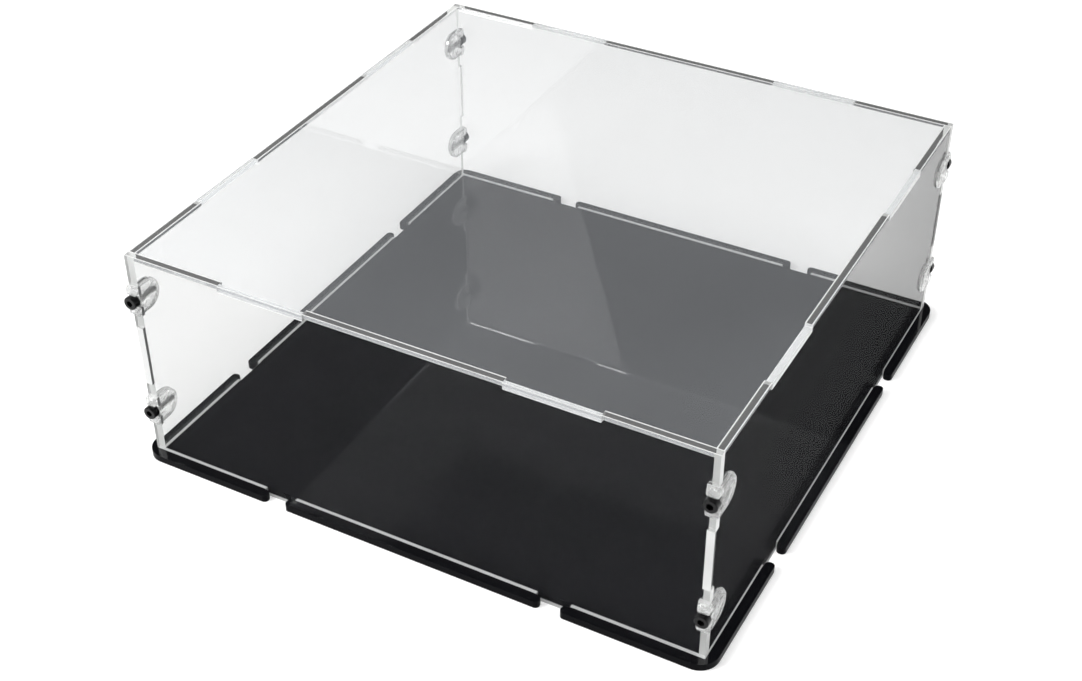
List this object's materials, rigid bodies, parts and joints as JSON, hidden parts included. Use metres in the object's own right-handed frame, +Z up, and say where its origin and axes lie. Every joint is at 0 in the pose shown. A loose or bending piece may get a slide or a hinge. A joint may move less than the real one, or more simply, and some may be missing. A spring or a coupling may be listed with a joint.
{
  "type": "display case",
  "caption": "Low square display case: clear finger-jointed acrylic cover, screwed at the corners, standing in slots of a black base sheet.",
  "frame": {"origin": "centre of the base plate's underside, on the surface that the case stands on", "axes": "+Z up; +X to the right and -Y to the front; the screw heads are on the front and back faces"},
  "size_m": [0.248, 0.248, 0.096],
  "materials": {
    "black_sheet": "polished black acrylic sheet",
    "clear_sheet": "clear acrylic sheet, polished faces and laser-cut edges",
    "clear_connector": "clear acrylic, rounded edges",
    "black_screw": "black oxide steel"
  },
  "bodies": {
    "base": {"base_plate": "black_sheet"},
    "cover": {"top_panel": "clear_sheet", "front_wall": "clear_sheet", "back_wall": "clear_sheet", "left_wall": "clear_sheet", "right_wall": "clear_sheet", "connector_front_left_lower": "clear_connector", "connector_front_left_upper": "clear_connector", "connector_front_right_lower": "clear_connector", "connector_front_right_upper": "clear_connector", "connector_back_left_lower": "clear_connector", "connector_back_left_upper": "clear_connector", "connector_back_right_lower": "clear_connector", "connector_back_right_upper": "clear_connector", "screw_front_left_lower": "black_screw", "screw_front_left_upper": "black_screw", "screw_front_right_lower": "black_screw", "screw_front_right_upper": "black_screw", "screw_back_left_lower": "black_screw", "screw_back_left_upper": "black_screw", "screw_back_right_lower": "black_screw", "screw_back_right_upper": "black_screw"}
  },
  "joints": [
    {"name": "cover_lift", "type": "slide", "parent": "base", "child": "cover", "axis": [0, 0, 1], "range_m": [0, 0.12]}
  ]
}
